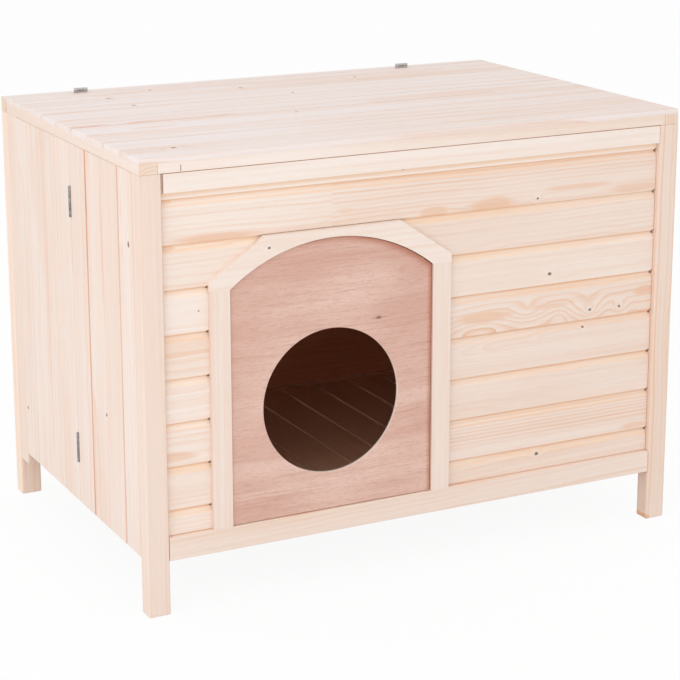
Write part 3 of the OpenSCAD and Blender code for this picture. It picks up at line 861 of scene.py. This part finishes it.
def plywood(node, marks):
    """Thin plywood: a mottled pink-tan veneer with short level flecks, and three plies at its cut edges.

    Marks are dark ovals: a place along and up, a half length, a half height and an amount.
    """
    material, root = start_material(node)
    coords, spot, turn = read_surface(root)
    low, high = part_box(node)
    aside = spot[0] - DOOR_MIDDLE

    bent = spot[2] + noise(coords, PLY_WAVE_NOISE) * PLY_WAVE
    place = root.add("ShaderNodeCombineXYZ", None, {0: spot[0], 1: spot[1], 2: bent})
    mottle = noise(place, PLY_MOTTLE_NOISE)
    band = noise(place, PLY_BAND_NOISE)
    fleck = noise(place, PLY_FLECK_NOISE)
    pore = noise(place, PLY_PORE_NOISE)
    streak = noise(place, PLY_STREAK_NOISE)
    deeper = ease(aside * 0.6 + spot[2] - 0.5 * (low[2] + high[2]), 0.02, 0.24) * 0.21
    colour = mix(ease(mottle + band * 0.6 + deeper, -0.26, 0.26), PLY_PALE, PLY_DEEP)
    colour = mix(ease(fleck, -0.04, 0.30) * 0.50, colour, PLY_FLECK)
    colour = mix(ease(pore, -0.04, 0.30) * 0.55, colour, PLY_FLECK)
    colour = mix(ease(streak, 0.02, 0.24) * 0.40, colour, PLY_FLECK)

    dark = 0.0
    for *shape, amount in marks:
        edge = oval(spot[0], spot[2], shape) + mottle * 0.8
        dark = dark + (1.0 - ease(edge, 0.25, 1.0)) * amount
    colour = mix(dark, colour, PLY_KNOT)

    # Painted shade: a darker, redder band below the arch and along the right edge, where the frame shades
    # the panel
    from_arch = ARCH_RADIUS - distance(aside, spot[2] - (high[2] - ARCH_RADIUS))
    at_right = ease(spot[0], high[0] - SHADE_AT_RIGHT, high[0])
    rim_shade = (1.0 - ease(from_arch, 0.0, SHADE_BELOW_ARCH)).over(at_right)
    colour = tint(rim_shade * ease(aside, -0.11, 0.06), colour, RIM_SHADE_TINT)

    ply = (spot[1] - low[1]) / (high[1] - low[1])
    outer_ply = ease(abs(ply - 0.5), 0.14, 0.20)
    from_hole = distance(spot[0] - HOLE_MIDDLE[0], spot[2] - HOLE_MIDDLE[1])
    at_hole = 1.0 - ease(from_hole, HOLE_RADIUS + HOLE_EDGE[0], HOLE_RADIUS + HOLE_EDGE[1])
    at_foot = 1.0 - ease(spot[2], low[2] + FOOT_EDGE[0], low[2] + FOOT_EDGE[1])
    cut = mix(at_hole.over(at_foot), PLY_DEEP, mix(outer_ply, PLY_CORE, PLY_EDGE))
    colour = mix(1.0 - ease(abs(turn[1]), 0.80, 0.95), colour, cut)
    # Painted shade: the panel's back face takes the cabin's darker, redder tint
    colour = tint(ease(turn[1], 0.4, 0.7) * shaded(spot), colour, CABIN_SHADE_TINT)

    height = fleck * -0.4 + pore * -0.5 + band * 0.3
    finish_material(root, colour, 0.58 + fleck * 0.10, height, PLY_BUMP, {"Specular IOR Level": 0.28})
    dress(node, material)


plywood("door_panel", [
    (-0.0675, 0.3575, 0.0050, 0.0034, 0.90), (-0.0665, 0.3575, 0.0180, 0.0024, 0.40),
    (-0.0325, 0.4180, 0.0060, 0.0070, 0.14),
])

# Hinges: the axis that their drawing lines run along, and the features a metre along a line

ALONG_WIDTH = 0
UPRIGHT = 2
LINE_SCALE = 90.0
WALL_HINGES = (
    "centre_hinge_front_leaves", "centre_hinge_rear_leaves", "centre_hinge_pins",
    "corner_hinge_post_leaves", "corner_hinge_wall_leaves", "corner_hinge_pins",
)
LID_HINGES = ("lid_hinge_lid_leaves", "lid_hinge_rail_leaves", "lid_hinge_pins")


def steel(node, run_along, bright, dull):
    """Plated steel with fine drawing lines and duller patches."""
    material, root = start_material(node)
    coords = root.add("ShaderNodeTexCoord", output="Object")
    scales = list(STEEL_LINE_NOISE.scales)
    scales[run_along] = LINE_SCALE
    line = noise(coords, STEEL_LINE_NOISE._replace(scales=tuple(scales)))
    patch = noise(coords, STEEL_PATCH_NOISE)
    colour = mix(ease(patch, -0.18, 0.22), bright, dull)
    roughness = 0.34 + patch * 0.30 + line * 0.16
    finish_material(root, colour, roughness, line, STEEL_BUMP, {"Metallic": 1.0})
    dress(node, material)


for hinge in WALL_HINGES:
    steel(hinge, UPRIGHT, STEEL, STEEL_DULL)
for hinge in LID_HINGES:
    steel(hinge, ALONG_WIDTH, ZINC, ZINC_DULL)

# Soft edges: the rounding in metres, finer where pieces lie close together

POST_EDGE = 0.0018
PANEL_EDGE = 0.0007
PLAIN_EDGE = 0.0006
CLOSE_EDGE = 0.0003
HINGE_EDGE = 0.00015
TIGHT_EDGE = 0.0001
WELD_REACH = 0.00002
SHARP_ANGLE = math.radians(35.0)


def soften(node, width, segments):
    """Joins a node's loose triangles and rounds its sharp edges."""
    weld = nodes[node].modifiers.new("join", "WELD")
    weld.merge_threshold = WELD_REACH
    bevel = nodes[node].modifiers.new("soft edges", "BEVEL")
    bevel.width = width
    bevel.segments = segments
    bevel.limit_method = "ANGLE"
    bevel.angle_limit = SHARP_ANGLE


for node in nodes:
    if "hinge_" in node and node != "hinge_rail":
        soften(node, HINGE_EDGE, 1)
    elif node.endswith("_post"):
        soften(node, POST_EDGE, 3)
    elif node in ("arch_head", "front_board_8"):
        soften(node, TIGHT_EDGE, 1)
    elif node == "door_panel":
        soften(node, PANEL_EDGE, 2)
    elif node in ("lid_board_1", "lid_front_batten", "rear_boards", "floor_boards"):
        soften(node, CLOSE_EDGE, 1)
    elif node != "lid_side_battens" and not node.endswith("_boards"):
        soften(node, PLAIN_EDGE, 2)

# Camera, light and floor

camera = bpy.data.objects.new("camera", bpy.data.cameras.new("camera"))
camera.data.sensor_width = SENSOR_WIDTH
camera.data.lens = SENSOR_WIDTH * FOCAL_PIXELS / IMAGE_WIDTH
camera.data.shift_y = CAMERA_SHIFT
camera.location = CAMERA_PLACE
camera.rotation_euler = (math.pi / 2 - CAMERA_PITCH, CAMERA_ROLL, -CAMERA_TURN)
bpy.context.collection.objects.link(camera)
bpy.context.scene.camera = camera

lamp = bpy.data.lights.new("soft key", "AREA")
lamp.shape = "DISK"
lamp.size = KEY_SIZE
lamp.energy = KEY_POWER
key = bpy.data.objects.new("soft key", lamp)
key.location = KEY_PLACE
key_tilt = math.atan2(math.hypot(KEY_PLACE[0], KEY_PLACE[1]), KEY_PLACE[2] - KEY_AIM_HEIGHT)
key_turn = math.atan2(-KEY_PLACE[0], KEY_PLACE[1]) + math.pi
key.rotation_euler = (key_tilt, 0.0, key_turn)
bpy.context.collection.objects.link(key)


def shown_white(root):
    """1 for what is seen, straight or in a shiny or clear surface, and 0 for light that falls on things."""
    kinds = ("Camera", "Glossy", "Transmission")
    seen, mirrored, through = (
        root.add("ShaderNodeLightPath", output="Is %s Ray" % kind) for kind in kinds
    )
    return seen.over(mirrored.over(through))


world = bpy.data.worlds.new("white studio")
world.use_nodes = True
world.node_tree.nodes.clear()
sky = Wire(world.node_tree)
strength = at_least(SKY_LEVEL, shown_white(sky))
background = sky.add("ShaderNodeBackground", None, {"Color": rgba(WHITE), "Strength": strength})
sky.add("ShaderNodeOutputWorld", None, {"Surface": background})
bpy.context.scene.world = world


def floor_disc(radius, rings, spokes):
    """A flat round floor: the point at radius r and angle a is (r cos a, r sin a, 0)."""
    radii = np.linspace(FLOOR_CENTRE, radius, rings)
    angles = np.linspace(0, 2 * np.pi, spokes + 1)[:-1]
    out, angle = np.meshgrid(radii, angles, indexing="ij")
    points = np.stack([out * np.cos(angle), out * np.sin(angle), np.zeros_like(angle)], axis=-1)
    row, spoke = np.meshgrid(np.arange(rings - 1), np.arange(spokes), indexing="ij")
    inner, outer = row * spokes, (row + 1) * spokes
    after = (spoke + 1) % spokes
    quads = np.stack([inner + spoke, outer + spoke, outer + after, inner + after], axis=-1)
    centre = list(range(spokes))
    mesh = bpy.data.meshes.new("floor")
    mesh.from_pydata(points.reshape(-1, 3).tolist(), [], quads.reshape(-1, 4).tolist() + [centre])
    return bpy.data.objects.new("floor", mesh)


floor = floor_disc(FLOOR_RADIUS, FLOOR_RINGS, FLOOR_SPOKES)
bpy.context.collection.objects.link(floor)
paper, sheet = start_material("white paper")
matt = sheet.add("ShaderNodeBsdfDiffuse", None, {"Color": rgba(FLOOR_COLOUR)})
glow = sheet.add("ShaderNodeEmission", None, {"Color": rgba(WHITE), "Strength": 1.0})
lit = sheet.add("ShaderNodeMixShader", None, {0: shown_white(sheet) * FLOOR_GLOW, 1: matt, 2: glow})
sheet.add("ShaderNodeOutputMaterial", None, {"Surface": lit})
floor.data.materials.append(paper)

bpy.context.scene.view_settings.view_transform = "Standard"
